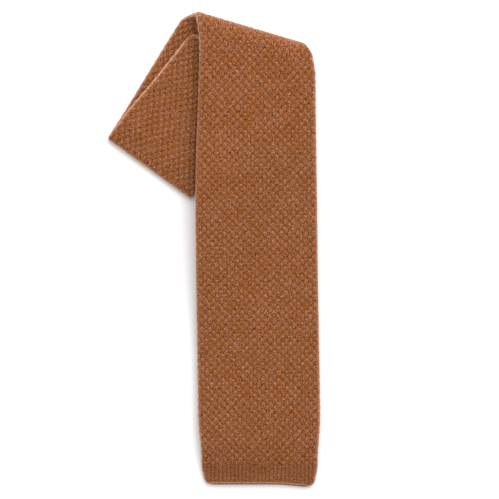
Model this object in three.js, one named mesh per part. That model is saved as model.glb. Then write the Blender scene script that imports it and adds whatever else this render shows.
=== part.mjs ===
// A knitted tie that lies folded, with the broad end of its front blade towards the viewer.
//
// The tie is one long flat tube of knitting. From the hem of the front blade the tube runs up (+Y),
// turns back at the top fold, runs down to the left as the flap's lower layer, turns back at the
// lower fold, runs up again as the flap's upper layer, turns over at the inner fold, and ends as
// the tail, which lies hidden under the front blade.
//
// Millimetres, +Z up. The origin is under the middle of the whole, on the surface it lies on.

import * as THREE from 'three';

// Knitting
const knitWall = 1.5;          // thickness of one wall of the tube
const tubeSlit = 0.4;          // space between the two walls of the flat tube
const layerClearance = 0.35;   // space between two layers that lie on each other
const pieceClearance = 0.3;    // space between two pieces that follow each other along the tube

// Widths of the flat tube
const hemWidth = 58.5;
const hemTopWidth = 61.9;
const bladeWidth = 65;
const topFoldWidth = 61.8;
const flapWidth = 57.6;
const lowerFoldWidth = 55.2;
const innerFoldWidth = 56.2;
const tailRootWidth = 48;
const neckWidth = 41;
const tailWidth = 47;
const tailHemWidth = 45;

// Lengths along the middle of the tube
const hemHeight = 11;
const tailHemHeight = 12;
const bladeSwell = 27;         // from the hem's top to where the blade has its full width
const bladeTaper = 91;         // from where the blade starts to narrow to the top fold
const frontLength = 234.6;     // from the hem to the start of the top fold
const flapLength = 82.4;       // from the end of the top fold to the start of the lower fold
const neckTaper = 42;          // from the inner fold to the narrowest place of the neck
const tailLength = 203;        // from the end of the inner fold to the tail's own end
const tailSwell = 30;          // from the tail's hem to where the tail has its full width
const hemCorner = 3.2;         // radius of the corners of both hems

// Folds. Angles are in degrees, against the courses of the knitting.
const topFoldAngle = -16.5;
const lowerFoldAngle = 2.8;
const tailLean = 2.6;          // by which the tail runs off the front blade's line
const innerFoldInset = 12;     // from the top fold's outer line to the inner fold's

// Sideways drift of the tube's middle, to the right of the front blade's line
const hemDrift = 1.8;
const hemDriftLength = 160;
const hemDip = 1.2;            // by which the hem's right corner hangs lower
const hemDipStart = 8;         // to the right of the middle line
const hemDipReach = 19;
const bladeDrift = 0.6;        // just under the top fold
const crestDrift = -1.7;       // at the top fold's crest
const crestLead = 9;           // from where the blade starts to curl to the top fold
const flapDrift = -6.5;        // where the flap's lower layer starts
const lowerFoldDrift = -6.3;
const rimDrift = -7;           // where the left rim of the flap's upper layer bows out most
const rimBow = 14;             // from the lower fold to there
const innerDrift = -6;         // from where the rim is straight again
const rimStraight = 48;        // from the lower fold to there
const crestPinch = 1.8;        // by which the right edge is drawn in at the top fold's crest
const crestPinchReach = 7;

// Drape of the upper layers over the flap's right edge and over the tail's end
const drapeLead = 1.5;
const drapeLength = 58;
const hemDrapeLength = 19;

// Mesh
const acrossSteps = 6;
const edgeSteps = 4;           // in each half round
const lengthStep = 9;
const flapStep = 14;
const turnSteps = 12;          // in each fold
const cornerShares = [0.05, 0.3, 1];

const tubeThickness = 2 * knitWall + tubeSlit;
const layerPitch = tubeThickness + layerClearance;
const frontLevel = tubeThickness / 2 + 3 * layerPitch;

const towardsBack = -1;
const towardsFront = 1;
const topFold = makeFold(frontLength, topFoldAngle, 1.5 * layerPitch, towardsBack);
const lowerFold = makeFold(topFold.end + flapLength, lowerFoldAngle, 0.5 * layerPitch, towardsBack);
const innerFoldAngle = lowerFoldAngle - topFoldAngle + tailLean / 2;
const innerFold = makeFold(innerFoldPlace(), innerFoldAngle, 0.5 * layerPitch, towardsFront);
const folds = [topFold, lowerFold, innerFold];
const tubeLength = innerFold.end + tailLength;

const widths = [
  { along: 0, value: hemWidth },
  { along: hemHeight, value: hemTopWidth },
  { along: hemHeight + bladeSwell, value: bladeWidth },
  { along: frontLength - bladeTaper, value: bladeWidth },
  { along: topFold.start, value: topFoldWidth },
  { along: topFold.end, value: flapWidth },
  { along: lowerFold.start, value: lowerFoldWidth },
  { along: innerFold.start, value: innerFoldWidth },
  { along: innerFold.end, value: tailRootWidth },
  { along: innerFold.end + neckTaper, value: neckWidth },
  { along: tubeLength - tailHemHeight - tailSwell, value: tailWidth },
  { along: tubeLength, value: tailHemWidth },
];

const topCrest = (topFold.start + topFold.end) / 2;
const drifts = [
  { along: 0, value: hemDrift },
  { along: hemDriftLength, value: 0 },
  { along: topFold.start - crestLead, value: bladeDrift },
  { along: topCrest, value: crestDrift },
  { along: topFold.end, value: flapDrift },
  { along: lowerFold.start, value: lowerFoldDrift },
  { along: lowerFold.end + rimBow, value: rimDrift },
  { along: lowerFold.end + rimStraight, value: innerDrift },
];

// The mesh's own courses run along each fold where the tube turns, and slew between the folds
const slants = [
  { along: frontLength / 2, value: 0 },
  { along: topFold.start, value: topFoldAngle },
  { along: topFold.end, value: topFoldAngle },
  { along: lowerFold.start, value: lowerFoldAngle },
  { along: lowerFold.end, value: lowerFoldAngle },
  { along: innerFold.start, value: innerFoldAngle },
  { along: innerFold.end, value: innerFoldAngle },
  { along: innerFold.end + tailLength / 2, value: 0 },
];

// The right edge of the flap's upper layer, over which the front blade and the tail drape
const flapEdge = makeFlapEdge();
const tailEnd = turnedOver(new THREE.Vector2(0, tubeLength), folds.length);

function makeFold(start, angle, radius, turn) {
  const slant = THREE.MathUtils.degToRad(angle);
  const run = Math.PI * radius;
  return {
    start,
    end: start + run / Math.cos(slant),
    radius,
    run,
    turn,
    line: new THREE.Vector2(Math.cos(slant), Math.sin(slant)),
    normal: new THREE.Vector2(-Math.sin(slant), Math.cos(slant)),
  };
}

// Distance along a fold's line and past it of a place in the flat tube
function measured(fold, place) {
  const arm = place.clone().sub(new THREE.Vector2(0, fold.start));
  return { side: arm.dot(fold.line), past: arm.dot(fold.normal) };
}

function rebuilt(fold, side, past) {
  const place = new THREE.Vector2(0, fold.start);
  return place.addScaledVector(fold.line, side).addScaledVector(fold.normal, past);
}

// Place in plan, after the first folds, of a place in the flat tube
function turnedOver(place, foldCount) {
  let result = place;
  for (const fold of folds.slice(0, foldCount).reverse()) {
    const { side, past } = measured(fold, result);
    result = rebuilt(fold, side, fold.run - past);
  }
  return result;
}

// Where the inner fold starts, for its outer line to lie inside the top fold's by the inset
function innerFoldPlace() {
  const pastTopFold = (along) => {
    const onFlap = measured(lowerFold, new THREE.Vector2(0, along));
    const onFront = measured(topFold, rebuilt(lowerFold, onFlap.side, lowerFold.run - onFlap.past));
    return topFold.run - onFront.past;
  };
  const radiusDifference = layerPitch;
  const wanted = radiusDifference - innerFoldInset;
  const reached = pastTopFold(lowerFold.end);
  const advance = pastTopFold(lowerFold.end + 1) - reached;
  return lowerFold.end + (wanted - reached) / advance;
}

function makeFlapEdge() {
  const upper = turnedOver(edgePlace(innerFold.start), 2);
  const lower = turnedOver(edgePlace(lowerFold.end), 2);
  const run = lower.clone().sub(upper).normalize();
  return { upper, outward: new THREE.Vector2(-run.y, run.x) };
}

function edgePlace(along) {
  const across = driftAt(along) + valueAt(widths, along) / 2;
  return new THREE.Vector2(across, along + across * Math.tan(slantAt(along)));
}

function eased(value) {
  return THREE.MathUtils.smoothstep(value, 0, 1);
}

// Value of a table between two of its rows
function valueAt(table, along, ease = eased) {
  const next = table.findIndex((row) => row.along > along);
  if (next === 0) return table[0].value;
  if (next < 0) return table[table.length - 1].value;
  const before = table[next - 1];
  const after = table[next];
  const share = (along - before.along) / (after.along - before.along);
  return THREE.MathUtils.lerp(before.value, after.value, ease(share));
}

function slantAt(along) {
  return THREE.MathUtils.degToRad(valueAt(slants, along, (share) => share));
}

function pinchAt(along) {
  return crestPinch * (1 - eased(Math.abs(along - topCrest) / crestPinchReach));
}

function driftAt(along) {
  return valueAt(drifts, along) - pinchAt(along) / 2;
}

// How far the hem's edge hangs below its own line
function dipAt(across, along) {
  return hemDip * eased((across - hemDipStart) / hemDipReach) * (1 - eased(along / hemHeight));
}

// Width that the pinch and the two round corners of an end leave
function widthAt(along) {
  const fromEnd = Math.min(along, tubeLength - along);
  const inCorner = Math.max(hemCorner - fromEnd, 0);
  const cut = hemCorner - Math.sqrt(hemCorner ** 2 - inCorner ** 2);
  return valueAt(widths, along) - pinchAt(along) - 2 * cut;
}

// Share of half a turn that a fold has made at a place along the tube, from 0 to 1
function turnShare(fold, along) {
  return THREE.MathUtils.clamp((along - fold.start) / (fold.end - fold.start), 0, 1);
}

// How far a fold has carried the tube from one level to the next, from 0 to 1
function levelShare(fold, along) {
  return (1 - Math.cos(Math.PI * turnShare(fold, along))) / 2;
}

// How far the front blade and the tail hang down at a place in plan
function drop(place, along) {
  const pastEdge = place.clone().sub(flapEdge.upper).dot(flapEdge.outward);
  const overFlap = 2 * layerPitch * eased((pastEdge - drapeLead) / drapeLength);
  const overTail = layerPitch * eased((tailEnd.y - place.y) / hemDrapeLength);
  const frontShare = 1 - levelShare(topFold, along);
  const tailShare = levelShare(innerFold, along);
  return (frontShare + tailShare) * overFlap + frontShare * overTail;
}

// Point in the folded tie of a point of the flat tube: its distance from the middle line, its
// place along it, and its height over the tube's middle surface
function foldedPoint(across, along, height) {
  const side = driftAt(along) + across;
  const ahead = side * Math.tan(slantAt(along)) - dipAt(across, along);
  let place = new THREE.Vector2(side, along + ahead);
  let level = height;
  const passed = folds.filter((fold) => along > fold.start).reverse();
  for (const fold of passed) {
    const angle = Math.PI * turnShare(fold, along);
    const from = measured(fold, place);
    const beyond = turnShare(fold, along) < 1 ? 0 : from.past - fold.run;
    const out = (fold.radius - fold.turn * level) * Math.sin(angle);
    place = rebuilt(fold, from.side, out - beyond);
    level = fold.turn * fold.radius * (1 - Math.cos(angle)) + level * Math.cos(angle);
  }
  return new THREE.Vector3(place.x, place.y, frontLevel + level - drop(place, along));
}

// Points round one wall face of the flat tube: two flat sides joined by two half rounds
function sectionLoop(flatWidth, radius) {
  const points = [];
  const corner = (middle, angle) => {
    points.push({ across: middle + radius * Math.cos(angle), height: radius * Math.sin(angle) });
  };
  for (const side of [1, -1]) {
    for (let step = 0; step < acrossSteps; step += 1) {
      const share = step / acrossSteps;
      points.push({ across: side * flatWidth * (share - 0.5), height: side * radius });
    }
    for (let step = 0; step < edgeSteps; step += 1) {
      corner(side * flatWidth / 2, side * Math.PI / 2 - Math.PI * step / edgeSteps);
    }
  }
  return points;
}

// Places along the tube where a piece has a section of its mesh
function sectionPlaces(from, to) {
  const marks = folds.flatMap((fold) => [fold.start, fold.end]);
  for (const end of [0, tubeLength]) {
    for (const share of cornerShares) marks.push(Math.abs(end - share * hemCorner));
  }
  const stops = [from, ...marks.filter((mark) => mark > from && mark < to), to];
  stops.sort((one, other) => one - other);
  const places = [from];
  for (let index = 1; index < stops.length; index += 1) {
    const start = stops[index - 1];
    const end = stops[index];
    const count = Math.ceil((end - start) / stepAt((start + end) / 2) - 1e-6);
    for (let step = 1; step <= count; step += 1) {
      places.push(THREE.MathUtils.lerp(start, end, step / count));
    }
  }
  return places;
}

function stepAt(along) {
  const fold = folds.find((one) => along > one.start && along < one.end);
  if (fold) return (fold.end - fold.start) / turnSteps;
  return along > topFold.end && along < innerFold.start ? flapStep : lengthStep;
}

// A stretch of the flat tube, hollow and open at both ends
function tubeGeometry(from, to) {
  const places = sectionPlaces(from, to);
  const positions = [];
  const faces = [];
  for (const along of places) {
    const flatWidth = widthAt(along) - tubeThickness;
    const outside = sectionLoop(flatWidth, tubeThickness / 2);
    const inside = sectionLoop(flatWidth, tubeSlit / 2);
    for (const { across, height } of [...outside, ...inside]) {
      positions.push(...foldedPoint(across, along, height).toArray());
    }
  }
  const round = 2 * (acrossSteps + edgeSteps);
  const quad = (one, two, three, four) => faces.push(one, two, three, one, three, four);
  for (let step = 0; step < round; step += 1) {
    const next = (step + 1) % round;
    for (let row = 0; row < places.length - 1; row += 1) {
      const here = row * 2 * round;
      const ahead = here + 2 * round;
      quad(here + step, here + next, ahead + next, ahead + step);
      quad(here + round + next, here + round + step, ahead + round + step, ahead + round + next);
    }
    const last = (places.length - 1) * 2 * round;
    quad(step, round + step, round + next, next);
    quad(last + next, last + round + next, last + round + step, last + step);
  }
  const geometry = new THREE.BufferGeometry();
  geometry.setAttribute('position', new THREE.Float32BufferAttribute(positions, 3));
  geometry.setIndex(faces);
  geometry.computeVertexNormals();
  return geometry;
}

const wool = { roughness: 0.95, metalness: 0 };
const mossKnit = new THREE.MeshStandardMaterial({ name: 'moss_knit', color: 0x965c34, ...wool });
const hemKnit = new THREE.MeshStandardMaterial({ name: 'hem_knit', color: 0x8a532e, ...wool });

// The blade's piece ends on the underside of the top fold, and the neck's just past the inner fold
const underTopFold = 0.88;
const bladeEnd = THREE.MathUtils.lerp(topFold.start, topFold.end, underTopFold);
const neckEnd = innerFold.end + tubeThickness;
const pieces = [
  { name: 'front_hem', end: hemHeight, material: hemKnit },
  { name: 'front_blade', end: bladeEnd, material: mossKnit },
  { name: 'neck_band', end: neckEnd, material: mossKnit },
  { name: 'tail_blade', end: tubeLength - tailHemHeight, material: mossKnit },
  { name: 'tail_hem', end: tubeLength, material: hemKnit },
];

const tie = new THREE.Group();
tie.name = 'knit_tie';
let pieceStart = 0;
for (const { name, end, material } of pieces) {
  const from = pieceStart > 0 ? pieceStart + pieceClearance / 2 : 0;
  const to = end < tubeLength ? end - pieceClearance / 2 : tubeLength;
  const mesh = new THREE.Mesh(tubeGeometry(from, to), material);
  mesh.name = name;
  tie.add(mesh);
  pieceStart = end;
}

const box = new THREE.Box3().setFromObject(tie);
const middle = box.getCenter(new THREE.Vector3());
tie.position.set(-middle.x, -middle.y, -box.min.z);

export default tie;
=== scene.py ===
import math
from collections import namedtuple

import bpy
import numpy as np
from mathutils import Matrix, Vector


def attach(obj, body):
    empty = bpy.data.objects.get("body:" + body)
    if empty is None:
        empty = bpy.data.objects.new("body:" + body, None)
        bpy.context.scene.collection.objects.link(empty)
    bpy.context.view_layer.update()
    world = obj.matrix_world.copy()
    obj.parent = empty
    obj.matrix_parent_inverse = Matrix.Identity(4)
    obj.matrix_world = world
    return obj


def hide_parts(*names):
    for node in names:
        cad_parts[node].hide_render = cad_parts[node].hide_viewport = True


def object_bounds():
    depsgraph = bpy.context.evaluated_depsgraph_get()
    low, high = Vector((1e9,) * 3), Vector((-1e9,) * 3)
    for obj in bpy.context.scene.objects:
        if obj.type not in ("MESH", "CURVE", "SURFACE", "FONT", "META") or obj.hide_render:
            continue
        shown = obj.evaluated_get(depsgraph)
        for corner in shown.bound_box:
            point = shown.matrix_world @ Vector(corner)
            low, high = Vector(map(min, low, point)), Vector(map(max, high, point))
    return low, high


# A knitted tie that lies folded. The tie is one long flat tube of wool. It runs up from the hem of
# the front blade, turns back at the top fold, runs down to the left as the flap's lower layer, turns
# back at the lower fold, runs up as the flap's upper layer, turns over at the inner fold and ends as
# the tail under the front blade. Sizes are in millimetres and angles in degrees.

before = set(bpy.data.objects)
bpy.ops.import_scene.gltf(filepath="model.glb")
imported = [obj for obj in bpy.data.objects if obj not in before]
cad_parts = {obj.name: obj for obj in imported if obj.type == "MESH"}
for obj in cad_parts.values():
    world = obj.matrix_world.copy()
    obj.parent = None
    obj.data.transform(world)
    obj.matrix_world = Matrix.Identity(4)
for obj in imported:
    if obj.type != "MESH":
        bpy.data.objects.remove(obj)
cad_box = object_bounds()

MM = 0.001

# Knitting
KNIT_WALL = 1.5
TUBE_SLIT = 0.4
LAYER_CLEARANCE = 0.35
TUBE_THICKNESS = 2 * KNIT_WALL + TUBE_SLIT
LAYER_PITCH = TUBE_THICKNESS + LAYER_CLEARANCE
FRONT_LEVEL = TUBE_THICKNESS / 2 + 3 * LAYER_PITCH

WALE_PITCH = 2.2
COURSE_PITCH = 2.1
STITCH_DEPTH = 0.48
CROWN_OVER_TUBE = 0.15

# Lengths along the middle of the tube
HEM_HEIGHT = 11
TAIL_HEM_HEIGHT = 12
BLADE_SWELL = 27
BLADE_TAPER = 91
FRONT_LENGTH = 234.6
FLAP_LENGTH = 82.4
NECK_TAPER = 42
TAIL_LENGTH = 203
TAIL_SWELL = 30
HEM_CORNER = 3.2
HEM_LIP_STEP = 0.6

# Folds
TOP_FOLD_ANGLE = -16.5
LOWER_FOLD_ANGLE = 2.8
TAIL_LEAN = 2.6
INNER_FOLD_INSET = 12

# The lower fold is pressed thinner over a short way from its outer line
PRESS_SHARE = 0.3
PRESS_REACH = 14

# Sideways drift of the tube's middle line, and the hem's right corner, which hangs lower
HEM_DRIFT = 1.8
STRAIGHT_FROM = 160
BLADE_TOP_DRIFT = 0.6
CREST_DRIFT = -1.7
FLAP_DRIFT = -6.5
LOWER_FOLD_DRIFT = -6.3
RIM_DRIFT = -7
RIM_BOW = 14
INNER_DRIFT = -6
RIM_STRAIGHT = 48
CREST_LEAD = 9
CREST_PINCH = 1.8
CREST_PINCH_REACH = 7
HEM_DIP = 1.2
HEM_DIP_START = 8
HEM_DIP_REACH = 19

# Drape of the upper layers over the flap's right edge and over the tail's end
DRAPE_LEAD = 1.5
DRAPE_LENGTH = 58
HEM_DRAPE_LENGTH = 19

Row = namedtuple("Row", "along value")


def eased(share):
    share = np.clip(share, 0, 1)
    return share * share * (3 - 2 * share)


def straight(share):
    return np.clip(share, 0, 1)


def value_at(table, along, ease=eased):
    """Values of a table at places between its rows."""
    places = np.array([row.along for row in table], float)
    values = np.array([row.value for row in table], float)
    before = np.clip(np.searchsorted(places, along, side="right") - 1, 0, len(table) - 2)
    share = (along - places[before]) / (places[before + 1] - places[before])
    return values[before] + (values[before + 1] - values[before]) * ease(share)


class Fold:
    """A line across the flat tube about which it turns half round. Its turn is 1 up and -1 down."""

    def __init__(self, start, angle, radius, turn):
        slant = math.radians(angle)
        self.start = start
        self.radius = radius
        self.turn = turn
        self.run = math.pi * radius
        self.end = start + self.run / math.cos(slant)
        self.line = np.array([math.cos(slant), math.sin(slant)])
        self.normal = np.array([-math.sin(slant), math.cos(slant)])

    def measured(self, place):
        """Distances along the fold's line and past it."""
        arm = place - np.array([0, self.start])
        return arm @ self.line, arm @ self.normal

    def rebuilt(self, side, past):
        origin = np.array([0, self.start])
        return origin + np.multiply.outer(side, self.line) + np.multiply.outer(past, self.normal)

    def turn_share(self, along):
        return np.clip((along - self.start) / (self.end - self.start), 0, 1)

    def level_share(self, along):
        return (1 - np.cos(np.pi * self.turn_share(along))) / 2


def inner_fold_place(top_fold, lower_fold):
    """Where the inner fold starts, for its outer line to lie inside the top fold's by the inset."""
    def past_top_fold(along):
        side, past = lower_fold.measured(np.array([0, along]))
        return top_fold.run - top_fold.measured(lower_fold.rebuilt(side, lower_fold.run - past))[1]
    reached = past_top_fold(lower_fold.end)
    advance = past_top_fold(lower_fold.end + 1) - reached
    return lower_fold.end + (LAYER_PITCH - INNER_FOLD_INSET - reached) / advance


TOP_FOLD = Fold(FRONT_LENGTH, TOP_FOLD_ANGLE, 1.5 * LAYER_PITCH, -1)
LOWER_FOLD = Fold(TOP_FOLD.end + FLAP_LENGTH, LOWER_FOLD_ANGLE, 0.5 * LAYER_PITCH, -1)
INNER_FOLD_ANGLE = LOWER_FOLD_ANGLE - TOP_FOLD_ANGLE + TAIL_LEAN / 2
INNER_FOLD = Fold(inner_fold_place(TOP_FOLD, LOWER_FOLD), INNER_FOLD_ANGLE, 0.5 * LAYER_PITCH, 1)
FOLDS = [TOP_FOLD, LOWER_FOLD, INNER_FOLD]
TUBE_LENGTH = INNER_FOLD.end + TAIL_LENGTH
TOP_CREST = (TOP_FOLD.start + TOP_FOLD.end) / 2

WIDTHS = [
    Row(0, 58.5),
    Row(HEM_HEIGHT, 61.9),
    Row(HEM_HEIGHT + BLADE_SWELL, 65),
    Row(FRONT_LENGTH - BLADE_TAPER, 65),
    Row(TOP_FOLD.start, 61.8),
    Row(TOP_FOLD.end, 57.6),
    Row(LOWER_FOLD.start, 55.2),
    Row(INNER_FOLD.start, 56.2),
    Row(INNER_FOLD.end, 48),
    Row(INNER_FOLD.end + NECK_TAPER, 41),
    Row(TUBE_LENGTH - TAIL_HEM_HEIGHT - TAIL_SWELL, 47),
    Row(TUBE_LENGTH, 45),
]

DRIFTS = [
    Row(0, HEM_DRIFT),
    Row(STRAIGHT_FROM, 0),
    Row(TOP_FOLD.start - CREST_LEAD, BLADE_TOP_DRIFT),
    Row(TOP_CREST, CREST_DRIFT),
    Row(TOP_FOLD.end, FLAP_DRIFT),
    Row(LOWER_FOLD.start, LOWER_FOLD_DRIFT),
    Row(LOWER_FOLD.end + RIM_BOW, RIM_DRIFT),
    Row(LOWER_FOLD.end + RIM_STRAIGHT, INNER_DRIFT),
]

SLANTS = [
    Row(FRONT_LENGTH / 2, 0),
    Row(TOP_FOLD.start, TOP_FOLD_ANGLE),
    Row(TOP_FOLD.end, TOP_FOLD_ANGLE),
    Row(LOWER_FOLD.start, LOWER_FOLD_ANGLE),
    Row(LOWER_FOLD.end, LOWER_FOLD_ANGLE),
    Row(INNER_FOLD.start, INNER_FOLD_ANGLE),
    Row(INNER_FOLD.end, INNER_FOLD_ANGLE),
    Row(INNER_FOLD.end + TAIL_LENGTH / 2, 0),
]

# Loops are as wide and high as the pitches on the blade, and drawn long and narrow on the neck
LOOP_WIDTHS = [
    Row(0, 2.08),
    Row(FRONT_LENGTH / 2, 2.16),
    Row(TOP_FOLD.start, 2.1),
    Row(TOP_FOLD.end, 1.84),
]
LOOP_HEIGHTS = [
    Row(HEM_HEIGHT, 2.11),
    Row(FRONT_LENGTH * 0.6, 2.11),
    Row(TOP_FOLD.start, 2.3),
    Row(TOP_FOLD.end, 2.46),
]
COUNT_STEP = 0.5
COUNT_MARGIN = 60
COURSE_MARKS = np.arange(-COUNT_MARGIN, TUBE_LENGTH + COUNT_MARGIN, COUNT_STEP)
COURSE_COUNTS = np.cumsum(COUNT_STEP / value_at(LOOP_HEIGHTS, COURSE_MARKS))


def course_at(along):
    """Number of courses up to a place along the flat tube."""
    return np.interp(along, COURSE_MARKS, COURSE_COUNTS)


def slant_at(along):
    return np.radians(value_at(SLANTS, along, straight))


def pinch_at(along):
    return CREST_PINCH * (1 - eased(np.abs(along - TOP_CREST) / CREST_PINCH_REACH))


def drift_at(along):
    return value_at(DRIFTS, along) - pinch_at(along) / 2


def dip_at(across, along):
    return HEM_DIP * eased((across - HEM_DIP_START) / HEM_DIP_REACH) * (1 - eased(along / HEM_HEIGHT))


def width_at(along):
    from_end = np.minimum(along, TUBE_LENGTH - along)
    in_corner = np.clip(HEM_CORNER - from_end, 0, HEM_CORNER)
    cut = HEM_CORNER - np.sqrt(HEM_CORNER ** 2 - in_corner ** 2)
    return value_at(WIDTHS, along) - pinch_at(along) - 2 * cut


def flat_place(across, along):
    """Place in the flat tube, before it is folded."""
    side = drift_at(along) + across
    ahead = side * np.tan(slant_at(along)) - dip_at(across, along)
    return np.stack([side, along + ahead], axis=-1)


def turned_over(place, fold_count):
    """Place in plan, after the first folds, of a place in the flat tube."""
    for fold in reversed(FOLDS[:fold_count]):
        side, past = fold.measured(place)
        place = fold.rebuilt(side, fold.run - past)
    return place


def flap_edge():
    """A point of the flap's upper right edge, and the way out of it."""
    def edge_place(along):
        return turned_over(flat_place(value_at(WIDTHS, along) / 2, along), 2)
    upper = edge_place(INNER_FOLD.start)
    run = edge_place(LOWER_FOLD.end) - upper
    run /= np.linalg.norm(run)
    return upper, np.array([-run[1], run[0]])


FLAP_EDGE_PLACE, FLAP_EDGE_OUTWARD = flap_edge()
TAIL_END = turned_over(np.array([0, TUBE_LENGTH]), 3)


def drop(place, along):
    """How far the front blade and the tail hang down at a place in plan."""
    past_edge = (place - FLAP_EDGE_PLACE) @ FLAP_EDGE_OUTWARD
    over_flap = 2 * LAYER_PITCH * eased((past_edge - DRAPE_LEAD) / DRAPE_LENGTH)
    over_tail = LAYER_PITCH * eased((TAIL_END[1] - place[..., 1]) / HEM_DRAPE_LENGTH)
    front_share = 1 - TOP_FOLD.level_share(along)
    tail_share = INNER_FOLD.level_share(along)
    return (front_share + tail_share) * over_flap + front_share * over_tail


def folded_points(across, along, height):
    """Points of the folded tie for points of the flat tube."""
    place = flat_place(across, along)
    level = np.array(height, float)
    pressed = 0
    for fold in reversed(FOLDS):
        share = fold.turn_share(along)
        angle = np.pi * share
        side, past = fold.measured(place)
        beyond = np.where(share < 1, 0, past - fold.run)
        out = (fold.radius - fold.turn * level) * np.sin(angle)
        turned = fold.rebuilt(side, out - beyond)
        raised = fold.turn * fold.radius * (1 - np.cos(angle)) + level * np.cos(angle)
        passed = along > fold.start
        place = np.where(passed[..., None], turned, place)
        level = np.where(passed, raised, level)
        if fold is LOWER_FOLD:
            inside = fold.radius + TUBE_THICKNESS / 2 - fold.measured(place)[1]
            pressed = PRESS_SHARE * (1 - eased(inside / PRESS_REACH)) * (along < INNER_FOLD.start)
    level = (FRONT_LEVEL + level - drop(place, along)) * (1 - pressed)
    return np.concatenate([place, level[..., None]], axis=-1)


# Columns of the mesh round the tube: the front wall, the right edge, the back wall, the left edge
Columns = namedtuple("Columns", "front back edge")
Section = namedtuple("Section", "across height from_middle edge")
EDGE_REACH = 3.6


def column_marks(columns):
    """For each column round the tube, its share across the flat wall and its turn round the edge."""
    front = np.arange(columns.front) / columns.front - 0.5
    back = 0.5 - np.arange(columns.back) / columns.back
    quarter = np.pi * np.arange(columns.edge) / columns.edge
    half = np.full(columns.edge, 0.5)
    shares = np.concatenate([front, half, back, -half])
    turns = np.concatenate([0 * front, quarter, np.pi + 0 * back, np.pi + quarter])
    return shares, turns


def section(columns, width, radius):
    """Points round one skin of the flat tube, with their distance from its middle line."""
    shares, turns = column_marks(columns)
    flat = (width - TUBE_THICKNESS)[:, None] * shares
    radius = radius[:, None]
    side = np.where(turns > np.pi, -1, 1)
    round_edge = np.minimum(turns % np.pi, np.pi - turns % np.pi)
    from_rim = (0.5 - np.abs(shares)) * width[:, None] + radius * (np.pi / 2 - round_edge)
    edge = 1 - eased(from_rim / EDGE_REACH)
    return Section(
        flat + radius * np.sin(turns),
        radius * np.cos(turns),
        flat + side * radius * round_edge,
        edge,
    )


# Rings of the mesh, one after another: out along the outer skin and back along the inner one
Ring = namedtuple("Ring", "along radius relief")
OUTER = TUBE_THICKNESS / 2
INNER = TUBE_SLIT / 2
LIP_MIDDLE = (OUTER + INNER) / 2
LIP_RADIUS = (OUTER - INNER) / 2
LIP_STEPS = 6
FOLD_RING_STEP = 1.4
FLAT_RING_STEP = 8


def lip_rings(end, inwards):
    """Rings round the rounded end of the tube's wall, from the outer skin to the inner one."""
    rings = []
    for step in range(1, LIP_STEPS):
        angle = math.pi * step / LIP_STEPS
        along = end + inwards * LIP_RADIUS * (1 - math.sin(angle))
        relief = max(math.cos(angle), 0)
        rings.append(Ring(along, LIP_MIDDLE + LIP_RADIUS * math.cos(angle), relief))
    return rings


def inner_places(start, end):
    """Places for the inner skin's rings, close together only in the folds."""
    places = [start]
    while places[-1] < end:
        in_fold = any(fold.start - 1 < places[-1] < fold.end + 1 for fold in FOLDS)
        places.append(places[-1] + (FOLD_RING_STEP if in_fold else FLAT_RING_STEP))
    return places[1:-1]


def tube_rings(start, end, step):
    """All the rings of one stretch of the tube, with a lip where the whole tube ends."""
    first_lip = LIP_RADIUS if start == 0 else 0
    last_lip = LIP_RADIUS if end == TUBE_LENGTH else 0
    outer_start = start + first_lip
    outer_end = end - last_lip
    count = round((outer_end - outer_start) / step)
    rings = [Ring(along, OUTER, 1) for along in np.linspace(outer_start, outer_end, count + 1)]
    if last_lip:
        rings += lip_rings(end, -1)
    rings.append(Ring(outer_end, INNER, 0))
    rings += [Ring(along, INNER, 0) for along in reversed(inner_places(outer_start, outer_end))]
    rings.append(Ring(outer_start, INNER, 0))
    if first_lip:
        rings += reversed(lip_rings(start, 1))
    return rings


# Painted highlight (sheen) with some pale fuzz on the rims and on the folds' outer lines, whose
# stitches are also calmer. It is stronger on the hem's lip and the lower fold, which face away from
# the key light, and weaker where the blade's edge lies over the flap in shade
EDGE_CALM = 0.6
HEM_LIP_REACH = 2
HEM_LIP_FUZZ_AND_SHEEN = 1.8
LOWER_FOLD_FUZZ_AND_SHEEN = 1.2
CREST_FUZZ_AND_SHEEN = 0.6
FOLD_FUZZ_AND_SHEEN_SHARE = 0.4
FLAP_RIM_FUZZ_AND_SHEEN = 0.5
TIP_FUZZ_AND_SHEEN = -0.45
BLADE_ON_FLAP_FUZZ_AND_SHEEN = -0.25
Span = namedtuple("Span", "start end")
OVER_FLAP = Span(145, 212)


def fold_rim(fold, along):
    """1 on a fold's outer line, and less away from it."""
    return 1 - eased(np.abs(fold.turn_share(along) - 0.5) / FOLD_FUZZ_AND_SHEEN_SHARE)


def rim_fuzz_and_sheen(loop, along, front_wall):
    """How much painted highlight (sheen) and pale fuzz each point gets, and how near it lies to a rim
    or to a fold's outer line.
    """
    on_flap = eased((along - OVER_FLAP.start) / 20) * (1 - eased((along - OVER_FLAP.end) / 15))
    on_rim = eased((along - LOWER_FOLD.end) / 12) * (along < INNER_FOLD.end)
    at_tip = eased((along - INNER_FOLD.start + 6) / 8)
    left = 1 + BLADE_ON_FLAP_FUZZ_AND_SHEEN * on_flap + FLAP_RIM_FUZZ_AND_SHEEN * on_rim * (1 - at_tip) + TIP_FUZZ_AND_SHEEN * at_tip
    lower_rim = fold_rim(LOWER_FOLD, along)
    crest_rim = fold_rim(TOP_FOLD, along)
    lip = (1 - eased(along / HEM_LIP_REACH)) * front_wall
    fuzz_and_sheen = loop.edge * np.where(loop.from_middle < 0, left, 1)
    for share, strength in (
        (lip, HEM_LIP_FUZZ_AND_SHEEN), (lower_rim, LOWER_FOLD_FUZZ_AND_SHEEN), (crest_rim, CREST_FUZZ_AND_SHEEN),
    ):
        fuzz_and_sheen = np.maximum(fuzz_and_sheen, strength * share)
    return fuzz_and_sheen, np.maximum(loop.edge, np.maximum(crest_rim, lower_rim))


RIB_BLEND = 0.8
OUTWARD_PROBE = 0.05


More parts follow.
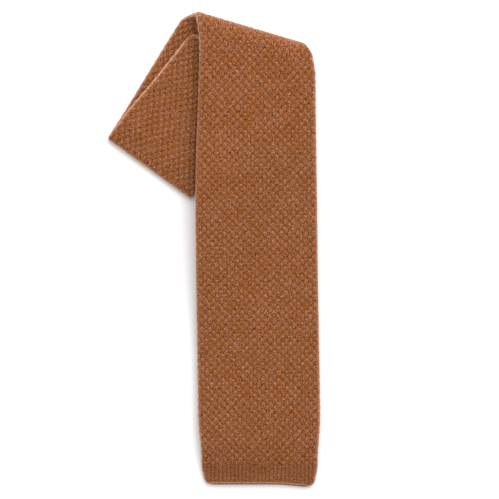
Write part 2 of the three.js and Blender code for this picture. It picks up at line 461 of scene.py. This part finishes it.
def tube_mesh(name, start, end, step, columns):
    """A hollow stretch of the folded tube, with its knitting coordinates and its bake map."""
    rings = tube_rings(start, end, step)
    along = np.array([ring.along for ring in rings])
    radius = np.array([ring.radius for ring in rings])
    relief = np.array([ring.relief for ring in rings])
    loop = section(columns, width_at(along), radius)
    wider = section(columns, width_at(along), radius + OUTWARD_PROBE)
    along_all = np.repeat(along[:, None], loop.across.shape[1], axis=1)
    front_wall = (1 + loop.height / radius[:, None]) / 2
    lip_share = 1 - eased(along_all / HEM_HEIGHT)
    along_all = along_all + HEM_LIP_STEP * front_wall * lip_share
    points = folded_points(loop.across, along_all, loop.height)
    outward = folded_points(wider.across, along_all, wider.height) - points
    outward /= np.linalg.norm(outward, axis=-1, keepdims=True)

    from_hem = np.minimum(along_all - HEM_HEIGHT, TUBE_LENGTH - TAIL_HEM_HEIGHT - along_all)
    rib = 1 - eased(from_hem / RIB_BLEND / 2 + 0.5)
    # Painted highlight (sheen) and fuzz on the rims, carried to the shader in the edge attribute
    fuzz_and_sheen, near_rim = rim_fuzz_and_sheen(loop, along_all, front_wall)
    knit = np.stack([
        loop.from_middle * WALE_PITCH / value_at(LOOP_WIDTHS, along_all),
        course_at(flat_place(loop.across, along_all)[..., 1]) * COURSE_PITCH,
        rib,
    ], axis=-1)

    ring_count, column_count = loop.across.shape
    numbers = np.arange(ring_count * column_count).reshape(ring_count, column_count)
    ahead = np.roll(numbers, -1, axis=0)
    faces = np.stack(
        [numbers, np.roll(numbers, -1, axis=1), np.roll(ahead, -1, axis=1), ahead], axis=-1
    ).reshape(-1, 4)

    mesh = bpy.data.meshes.new(name)
    mesh.from_pydata((points.reshape(-1, 3) * MM).tolist(), [], faces.tolist())
    for label, kind, field, values in (
        ("knit", "FLOAT_VECTOR", "vector", knit),
        ("outward", "FLOAT_VECTOR", "vector", outward),
        ("relief", "FLOAT", "value", relief[:, None] * (1 - EDGE_CALM * near_rim)),
        ("edge", "FLOAT", "value", fuzz_and_sheen),
    ):
        made = mesh.attributes.new(label, kind, "POINT")
        made.data.foreach_set(field, np.ascontiguousarray(values, np.float32).ravel())
    add_bake_map(mesh, ring_count, column_count, sum(ring.radius == OUTER for ring in rings))
    mesh.shade_smooth()
    return mesh


def add_bake_map(mesh, ring_count, column_count, outer_count):
    """A flat layout of the skin: the outer one over most of the square, the rest in a strip."""
    rings, columns = np.mgrid[0:ring_count, 0:column_count].astype(float)
    corner_rings = rings[..., None] + np.array([0, 0, 1, 1])
    corner_columns = columns[..., None] + np.array([0, 1, 1, 0])
    outside = (rings < outer_count - 1)[..., None]
    around = corner_columns / column_count
    out_up = corner_rings / (outer_count - 1)
    in_up = (corner_rings - outer_count + 1) / (ring_count - outer_count + 1)
    across = np.where(outside, 0.01 + 0.93 * around, 0.96 + 0.03 * around)
    up = 0.01 + 0.98 * np.where(outside, out_up, in_up)
    layer = mesh.uv_layers.new(name="OFBake")
    layer.uv.foreach_set("vector", np.stack([across, up], axis=-1).astype(np.float32).ravel())


# Node trees. A signal is one output that can be reckoned with: each sign adds one Math node.
class Signal:
    def __init__(self, tree, socket):
        self.tree = tree
        self.socket = socket

    def math(self, operation, *others):
        node = self.tree.nodes.new("ShaderNodeMath")
        node.operation = operation
        for socket, value in zip(node.inputs, (self, *others)):
            feed(self.tree, socket, value)
        return Signal(self.tree, node.outputs[0])

    def __add__(self, other):
        return self.math("ADD", other)

    def __sub__(self, other):
        return self.math("SUBTRACT", other)

    def __mul__(self, other):
        return self.math("MULTIPLY", other)

    def __truediv__(self, other):
        return self.math("DIVIDE", other)

    def size(self):
        return self.math("ABSOLUTE")

    def squared(self):
        return self.math("MULTIPLY", self)

    def at_least(self, other):
        return self.math("MAXIMUM", other)

    def at_most(self, other):
        return self.math("MINIMUM", other)

    def root(self):
        return self.at_least(0.0).math("SQRT")

    def wave(self):
        """One rise and fall from 0 to 1 for each whole number."""
        return (self * math.tau).math("COSINE") * 0.5 + 0.5

    def stepped(self, low, high):
        """0 below low, 1 above high and a smooth rise between."""
        node = add_node(self.tree, "ShaderNodeMapRange", interpolation_type="SMOOTHSTEP")
        feed(self.tree, node.inputs["Value"], self)
        feed(self.tree, node.inputs["From Min"], low)
        feed(self.tree, node.inputs["From Max"], high)
        return Signal(self.tree, node.outputs["Result"])

    def blended(self, other, share):
        return self + (other - self) * share


def feed(tree, socket, value):
    """Joins a signal or a socket to an input, or sets the input to a constant."""
    if isinstance(value, Signal):
        tree.links.new(value.socket, socket)
    elif isinstance(value, bpy.types.NodeSocket):
        tree.links.new(value, socket)
    else:
        socket.default_value = value


def add_node(tree, kind, inputs=None, **settings):
    node = tree.nodes.new(kind)
    for name, value in settings.items():
        setattr(node, name, value)
    for name, value in (inputs or {}).items():
        feed(tree, node.inputs[name], value)
    return node


def joined(tree, x, y, z=0.0):
    return add_node(tree, "ShaderNodeCombineXYZ", {"X": x, "Y": y, "Z": z}).outputs[0]


def parted(tree, vector):
    node = add_node(tree, "ShaderNodeSeparateXYZ", {"Vector": vector})
    return [Signal(tree, output) for output in node.outputs]


def noise(tree, x, y, scale, detail=2.0, shift=0.0):
    """Noise around 0.5 over two coordinates in millimetres, with scale waves a millimetre."""
    node = add_node(
        tree, "ShaderNodeTexNoise",
        {"Vector": joined(tree, x, y, shift), "Scale": scale, "Detail": detail, "Roughness": 0.55},
    )
    return Signal(tree, node.outputs[0])


def crumbled(tree, x, y, scale, ragged):
    """Small crumbs, 1 in the middle of each and near 0 between them, with ragged outlines."""
    node = add_node(
        tree, "ShaderNodeTexVoronoi",
        {"Vector": joined(tree, x + ragged * 0.4, y - ragged * 0.4), "Scale": scale},
        voronoi_dimensions="2D", feature="F1",
    )
    return Signal(tree, node.outputs["Distance"]) * -1.1 + 1.0


# The stitches
def warped(tree, across, along, unevenness):
    """The knitting's coordinates with the small shifts of uneven loops."""
    across_shift = noise(tree, across, along, 0.11, shift=3.0) - 0.5
    along_shift = noise(tree, across, along, 0.13, shift=8.0) - 0.5
    return across + across_shift * unevenness, along + along_shift * unevenness


# A moss loop, in millimetres from its own middle: its crown, and the ring of yarn round its hole
CROWN_RISE = 0.18
CROWN_UP = 1.1
CROWN_DOWN = 0.82
CROWN_HALF_WIDTH = 1.25
CROWN_NARROWING = 0.5
HOLE_DROP = 0.8
RING_INNER = 0.58
RING_WIDTH = 0.42
RING_HEIGHT = 0.55


def moss_loops(tree, across, along, wale, course):
    """Height of moss stitch, 0 in the gaps and 1 on the crowns, and each loop's random tone."""
    half_across = across / (wale * 2.0)
    half_along = along / (course * 2.0)
    slope = half_across + half_along
    counter_slope = half_across - half_along
    cells = add_node(
        tree, "ShaderNodeTexVoronoi",
        {"Vector": joined(tree, slope, counter_slope), "Scale": 1.0, "Randomness": 0.04},
        voronoi_dimensions="2D", feature="F1",
    )
    middle_slope, middle_counter, _ = parted(tree, cells.outputs["Position"])
    off_slope = slope - middle_slope
    off_counter = counter_slope - middle_counter
    side = (off_slope + off_counter) * wale
    rise = (off_slope - off_counter) * course
    tone = parted(tree, cells.outputs["Color"])[0]

    # Each crown is steep below and slants in above, and stands over the ring
    above = rise - CROWN_RISE
    up = above.at_least(0.0) / CROWN_UP
    down = above.at_most(0.0) / CROWN_DOWN
    narrowed = side * (up * CROWN_NARROWING + 1.0) / CROWN_HALF_WIDTH
    bump = (narrowed.squared() * -1.0 - up.squared() - down.squared() + 1.0).root()
    from_hole = ((side * 0.78).squared() + ((rise + HOLE_DROP) * 1.05).squared()).root()
    ring = (((from_hole - RING_INNER) / RING_WIDTH).squared() * -1.0 + 1.0).root() * RING_HEIGHT
    height = bump.math("SMOOTH_MAX", ring, 0.15)
    return height.at_least(0.0).at_most(1.0), tone


def hem_ribs(tree, across, along, wale, course):
    """Height of the hem's fine upright ribs of slanting legs, and a random tone."""
    rib = across / wale
    from_middle = (rib - rib.math("ROUND")).size() * 2.0
    body = from_middle.math("POWER", 1.8) * -1.0 + 1.0
    crease = (from_middle / 0.35).squared().at_most(1.0) * 0.4 + 0.6
    legs = (along / course - from_middle * 0.42).wave() * 0.3 + 0.7
    tone = noise(tree, across, along, 0.45, shift=5.0)
    return body * crease * legs * 0.85, tone


def knitted_height(tree, knit, wale, course, unevenness):
    """Height and tone of the knitting at its own coordinates: across, along and share of rib."""
    across, along, rib = parted(tree, knit)
    across, along = warped(tree, across, along, unevenness)
    moss, moss_tone = moss_loops(tree, across, along, wale, course)
    ribs, rib_tone = hem_ribs(tree, across, along, wale, course)
    height = moss.blended(ribs, rib)
    return across, along, height, moss_tone.blended(rib_tone, rib)


def add_socket(tree, name, kind, way="INPUT", value=None):
    socket = tree.interface.new_socket(name=name, in_out=way, socket_type="NodeSocket" + kind)
    if value is not None:
        socket.default_value = value
    return socket


def knit_relief_tree():
    """Moves the skin in and out by its stitches, and gives it its yarn."""
    tree = bpy.data.node_groups.new("Knit relief", "GeometryNodeTree")
    add_socket(tree, "Geometry", "Geometry")
    add_socket(tree, "Wale Pitch", "Float", value=WALE_PITCH)
    add_socket(tree, "Course Pitch", "Float", value=COURSE_PITCH)
    add_socket(tree, "Stitch Depth", "Float", value=STITCH_DEPTH)
    add_socket(tree, "Crown Height", "Float", value=CROWN_OVER_TUBE)
    add_socket(tree, "Unevenness", "Float", value=0.6)
    add_socket(tree, "Yarn", "Material")
    add_socket(tree, "Geometry", "Geometry", "OUTPUT")
    given = tree.nodes.new("NodeGroupInput").outputs
    result = tree.nodes.new("NodeGroupOutput")

    def stored(name, kind):
        node = add_node(tree, "GeometryNodeInputNamedAttribute", {"Name": name}, data_type=kind)
        return node.outputs["Attribute"]

    wale = Signal(tree, given["Wale Pitch"])
    course = Signal(tree, given["Course Pitch"])
    unevenness = Signal(tree, given["Unevenness"])
    height = knitted_height(tree, stored("knit", "FLOAT_VECTOR"), wale, course, unevenness)[2]
    depth = Signal(tree, given["Stitch Depth"])
    crown = Signal(tree, given["Crown Height"])
    out = (crown - (height * -1.0 + 1.0) * depth) * Signal(tree, stored("relief", "FLOAT")) * MM
    shift = add_node(tree, "ShaderNodeVectorMath", operation="SCALE")
    feed(tree, shift.inputs[0], stored("outward", "FLOAT_VECTOR"))
    feed(tree, shift.inputs["Scale"], out)
    moved = add_node(
        tree, "GeometryNodeSetPosition",
        {"Geometry": given["Geometry"], "Offset": shift.outputs[0]},
    )
    real = add_node(tree, "GeometryNodeRealizeInstances", {"Geometry": moved.outputs[0]})
    dressed = add_node(
        tree, "GeometryNodeSetMaterial",
        {"Geometry": real.outputs[0], "Material": given["Yarn"]},
    )
    feed(tree, result.inputs[0], dressed.outputs[0])
    return tree


def set_input(modifier, name, value):
    """Sets a named input of a Geometry Nodes modifier by its socket's identifier."""
    for item in modifier.node_group.interface.items_tree:
        if item.item_type == "SOCKET" and item.in_out == "INPUT" and item.name == name:
            modifier[item.identifier] = value


def made_plain(piece):
    """Turns a piece's Geometry Nodes result into its plain mesh."""
    graph = bpy.context.evaluated_depsgraph_get()
    evaluated = piece.evaluated_get(graph)
    finished = bpy.data.meshes.new_from_object(
        evaluated, preserve_all_data_layers=True, depsgraph=graph
    )
    rough = piece.data
    piece.modifiers.clear()
    piece.data = finished
    bpy.data.meshes.remove(rough)
    finished.name = piece.name
    for label in ("outward", "relief"):
        finished.attributes.remove(finished.attributes[label])
    return piece


# The yarn
def mix_colours(tree, first, second, share):
    node = add_node(tree, "ShaderNodeMix", data_type="RGBA")
    feed(tree, node.inputs[0], share)
    feed(tree, node.inputs[6], first)
    feed(tree, node.inputs[7], second)
    return node.outputs[2]


def shaded(tree, colour, factor):
    """A colour with its light scaled by a signal around 1."""
    node = add_node(tree, "ShaderNodeVectorMath", {0: colour}, operation="SCALE")
    feed(tree, node.inputs["Scale"], factor)
    return node.outputs[0]


def heathered_wool_group():
    """Colour and height of heathered wool, knitted: loops, gaps darkened with painted shade, rims
    paled with painted highlight (sheen) and fuzz, flecks and fine fibres.
    """
    tree = bpy.data.node_groups.new("Heathered wool", "ShaderNodeTree")
    add_socket(tree, "Knit", "Vector")
    add_socket(tree, "Wale Pitch", "Float", value=WALE_PITCH)
    add_socket(tree, "Course Pitch", "Float", value=COURSE_PITCH)
    add_socket(tree, "Unevenness", "Float", value=0.6)
    add_socket(tree, "Crown Colour", "Color")
    # Colour of the painted shade in the gaps between loops
    add_socket(tree, "Gap Shade Colour", "Color")
    add_socket(tree, "Heather Colour", "Color")
    add_socket(tree, "Heather Share", "Float", value=0.4)
    add_socket(tree, "Grain", "Float", value=1.0)
    add_socket(tree, "Light Fleck", "Color")
    add_socket(tree, "Dark Fleck", "Color")
    # Colour of the painted rim highlight (sheen) and fuzz
    add_socket(tree, "Fuzz And Sheen Colour", "Color")
    add_socket(tree, "Edge", "Float", value=0.0)
    add_socket(tree, "Colour", "Color", "OUTPUT")
    add_socket(tree, "Height", "Float", "OUTPUT")
    given = tree.nodes.new("NodeGroupInput").outputs
    result = tree.nodes.new("NodeGroupOutput")
    sizes = [Signal(tree, given[name]) for name in ("Wale Pitch", "Course Pitch", "Unevenness")]
    across, along, height, tone = knitted_height(tree, given["Knit"], *sizes)
    grain = Signal(tree, given["Grain"])

    # Fibres run along the yarn, crumbs and grains are its short hairs, and patches are its mixing
    fibres = noise(tree, across, along * 1.4, 1.8, detail=3.0, shift=1.0)
    crumbs = crumbled(tree, across, along, 1.0, fibres)
    grains = crumbled(tree, across + 40.0, along, 1.6, fibres)
    patches = noise(tree, across, along, 0.16, shift=90.0)
    heather = noise(tree, across, along, 1.2, shift=20.0).stepped(0.4, 0.6)
    heather = (heather * (patches * 5.0 - 1.5)).at_least(0.0).at_most(1.2)
    crown = mix_colours(
        tree, given["Crown Colour"], given["Heather Colour"],
        heather * Signal(tree, given["Heather Share"]),
    )
    # Painted shade: low places between the loops take the gap colour, on top of the relief's real
    # shading
    lit = (height + (crumbs - 0.45) * 0.4 * grain).stepped(-0.35, 0.9)
    colour = mix_colours(tree, given["Gap Shade Colour"], crown, lit)
    light = noise(tree, across, along, 1.2, detail=1.0, shift=31.0).stepped(0.64, 0.76)
    colour = mix_colours(tree, colour, given["Light Fleck"], light * 0.6)
    dark = noise(tree, across, along, 1.3, detail=1.0, shift=47.0).stepped(0.6, 0.72)
    colour = mix_colours(tree, colour, given["Dark Fleck"], dark * 0.7)

    # Painted highlight (sheen) with some pale fuzz pales the rims, and the light that the yarn gives
    # back varies with its hairs
    fuzz_and_sheen = (Signal(tree, given["Edge"]).squared() * (crumbs * 0.5 + 0.5)).at_most(0.95)
    colour = mix_colours(tree, colour, given["Fuzz And Sheen Colour"], fuzz_and_sheen)
    cloudy = noise(tree, across, along, 0.03, shift=60.0)
    factor = (tone * 0.06 + 0.79) * (fibres * 0.7 + 0.65) * (cloudy * 0.12 + 0.94)
    factor = factor * (patches * 0.3 + 0.85)
    factor = factor * ((crumbs - 0.45) * 0.25 * grain + 1.0) * ((grains - 0.45) * 1.9 * grain + 1.0)
    feed(tree, result.inputs["Colour"], shaded(tree, colour, factor))
    feed(tree, result.inputs["Height"], height + fibres * 0.2 + crumbs * 0.15 + grains * 0.1)
    return tree


def colour_of(red, green, blue):
    """The linear colour of one given in the usual 0 to 255 steps."""
    def linear(step):
        share = step / 255
        return share / 12.92 if share <= 0.04045 else ((share + 0.055) / 1.055) ** 2.4
    return (linear(red), linear(green), linear(blue), 1.0)


def wool_material(name, group, colours, heather_share, grain, bump):
    material = bpy.data.materials.new(name)
    material.use_nodes = True
    tree = material.node_tree
    tree.nodes.clear()
    knit = add_node(tree, "ShaderNodeAttribute", attribute_name="knit", attribute_type="GEOMETRY")
    wool = add_node(tree, "ShaderNodeGroup", node_tree=group)
    feed(tree, wool.inputs["Knit"], knit.outputs["Vector"])
    edge = add_node(tree, "ShaderNodeAttribute", attribute_name="edge", attribute_type="GEOMETRY")
    feed(tree, wool.inputs["Edge"], edge.outputs["Fac"])
    for label, colour in colours.items():
        feed(tree, wool.inputs[label], colour)
    feed(tree, wool.inputs["Heather Share"], heather_share)
    feed(tree, wool.inputs["Grain"], grain)
    relief = add_node(
        tree, "ShaderNodeBump",
        {"Strength": 0.75, "Distance": bump * MM, "Height": wool.outputs["Height"]},
    )
    shader = add_node(
        tree, "ShaderNodeBsdfPrincipled",
        {
            "Base Color": wool.outputs["Colour"],
            "Normal": relief.outputs["Normal"],
            "Roughness": 0.92,
            "Specular IOR Level": 0.15,
            "Sheen Weight": 0.5,
            "Sheen Roughness": 0.4,
            "Sheen Tint": (1.0, 0.62, 0.45, 1.0),
        },
    )
    output = tree.nodes.new("ShaderNodeOutputMaterial")
    tree.links.new(shader.outputs[0], output.inputs["Surface"])
    return material


wool_group = heathered_wool_group()
WOOL_COLOURS = {
    "Crown Colour": colour_of(142, 84, 38),
    # Painted shade between the loops
    "Gap Shade Colour": colour_of(103, 54, 22),
    "Heather Colour": colour_of(138, 90, 64),
    "Light Fleck": colour_of(186, 146, 122),
    "Dark Fleck": colour_of(92, 56, 36),
    # Painted highlight (sheen) with some pale fuzz on the rims
    "Fuzz And Sheen Colour": colour_of(190, 140, 112),
}
HEM_COLOURS = {
    **WOOL_COLOURS,
    "Crown Colour": colour_of(134, 79, 36),
    "Heather Colour": colour_of(130, 84, 58),
    # Painted shade between the hem's ribs
    "Gap Shade Colour": colour_of(88, 44, 18),
}
YARNS = {
    "moss_knit": wool_material("moss_knit_wool", wool_group, WOOL_COLOURS, 0.9, 1.0, 0.38),
    "hem_knit": wool_material("hem_knit_wool", wool_group, HEM_COLOURS, 0.85, 0.75, 0.35),
}

# The stretches of the tube
UNDER_TOP_FOLD = 0.88
BLADE_END = TOP_FOLD.start + UNDER_TOP_FOLD * (TOP_FOLD.end - TOP_FOLD.start)
NECK_END = INNER_FOLD.end + TUBE_THICKNESS
TAIL_HEM_START = TUBE_LENGTH - TAIL_HEM_HEIGHT

Stretch = namedtuple("Stretch", "node slot start end step columns rests_on")
STRETCHES = [
    Stretch("front_hem", "hem_knit", 0, HEM_HEIGHT, 0.4, Columns(140, 140, 10), []),
    Stretch("front_blade", "moss_knit", HEM_HEIGHT, BLADE_END, 0.57, Columns(150, 44, 8),
            ["tail_blade_knit", "neck_band_knit"]),
    Stretch("neck_band", "moss_knit", BLADE_END, NECK_END, 0.55, Columns(104, 104, 8), []),
    Stretch("tail_blade", "moss_knit", NECK_END, TAIL_HEM_START, 0.8, Columns(60, 60, 6),
            ["neck_band_knit"]),
    Stretch("tail_hem", "hem_knit", TAIL_HEM_START, TUBE_LENGTH, 0.6, Columns(84, 84, 8), []),
]

relief_tree = knit_relief_tree()
pieces = {}
for stretch in STRETCHES:
    name = stretch.node + "_knit"
    mesh = tube_mesh(name, stretch.start, stretch.end, stretch.step, stretch.columns)
    piece = bpy.data.objects.new(name, mesh)
    bpy.context.scene.collection.objects.link(piece)
    pieces[stretch.node] = piece

# The tie is set in the frame by the middle of its own box
corners = np.array([corner for piece in pieces.values() for corner in piece.bound_box])
own_middle = (corners.min(axis=0) + corners.max(axis=0)) / 2
frame_middle = (cad_box[0] + cad_box[1]) / 2
shift = Vector((frame_middle.x - own_middle[0], frame_middle.y - own_middle[1], 0))

for stretch in STRETCHES:
    piece = pieces[stretch.node]
    piece.data.transform(Matrix.Translation(shift))
    knitting = piece.modifiers.new("Knit relief", "NODES")
    knitting.node_group = relief_tree
    set_input(knitting, "Yarn", YARNS[stretch.slot])
    made_plain(piece)

for stretch in STRETCHES:
    piece = pieces[stretch.node]
    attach(piece, "root")
    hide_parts(stretch.node)
    length = stretch.end - stretch.start
    places = np.linspace(stretch.start, stretch.end, 200)
    round_tube = 2 * width_at(places).mean()
    round_tube * MM
    length * MM

# The floor, the light and the camera
FLOOR_SIZE = 8.0
FLOOR_WHITE = 0.86
ROOM_LIGHT = 0.9
KEY_PLACE = (0.33, 0.74, 0.9)
KEY_SIZE = 1.2
KEY_POWER = 16.7
floor_mesh = bpy.data.meshes.new("floor")
half = FLOOR_SIZE / 2
floor_level = -CROWN_OVER_TUBE * MM
floor_mesh.from_pydata(
    [(-half, -half, floor_level), (half, -half, floor_level), (half, half, floor_level),
     (-half, half, floor_level)], [], [(0, 1, 2, 3)],
)
floor = bpy.data.objects.new("floor", floor_mesh)
bpy.context.scene.collection.objects.link(floor)
floor_material = bpy.data.materials.new("pale_floor")
floor_material.use_nodes = True
floor_shader = floor_material.node_tree.nodes["Principled BSDF"]
floor_shader.inputs["Base Color"].default_value = (FLOOR_WHITE, FLOOR_WHITE, FLOOR_WHITE, 1)
floor_shader.inputs["Roughness"].default_value = 0.9
floor_shader.inputs["Specular IOR Level"].default_value = 0.1
floor_mesh.materials.append(floor_material)

world = bpy.data.worlds.new("studio")
world.use_nodes = True
room = world.node_tree.nodes["Background"]
room.inputs["Color"].default_value = (1, 1, 1, 1)
room.inputs["Strength"].default_value = ROOM_LIGHT
bpy.context.scene.world = world


def softbox(name, place, size, power):
    light = bpy.data.lights.new(name, "AREA")
    light.shape = "SQUARE"
    light.size = size
    light.energy = power
    lamp = bpy.data.objects.new(name, light)
    lamp.location = place
    lamp.rotation_euler = (-Vector(place)).to_track_quat("-Z", "Y").to_euler()
    bpy.context.scene.collection.objects.link(lamp)


softbox("key_softbox", KEY_PLACE, KEY_SIZE, KEY_POWER)
bpy.context.scene.view_settings.view_transform = "Standard"

PICTURE_WIDTH = 499
BLADE_PIXELS = 122.5
BLADE_WIDTH = 65
VIEW_WIDTH = PICTURE_WIDTH * BLADE_WIDTH / BLADE_PIXELS * MM
VIEW_MIDDLE = (0.01873, -0.0001)
CAMERA_DISTANCE = 5.0
camera_data = bpy.data.cameras.new("camera")
camera_data.lens = camera_data.sensor_width * CAMERA_DISTANCE / VIEW_WIDTH
camera = bpy.data.objects.new("camera", camera_data)
camera.location = (*VIEW_MIDDLE, CAMERA_DISTANCE + FRONT_LEVEL * MM)
bpy.context.scene.collection.objects.link(camera)
bpy.context.scene.camera = camera

bpy.context.view_layer.update()
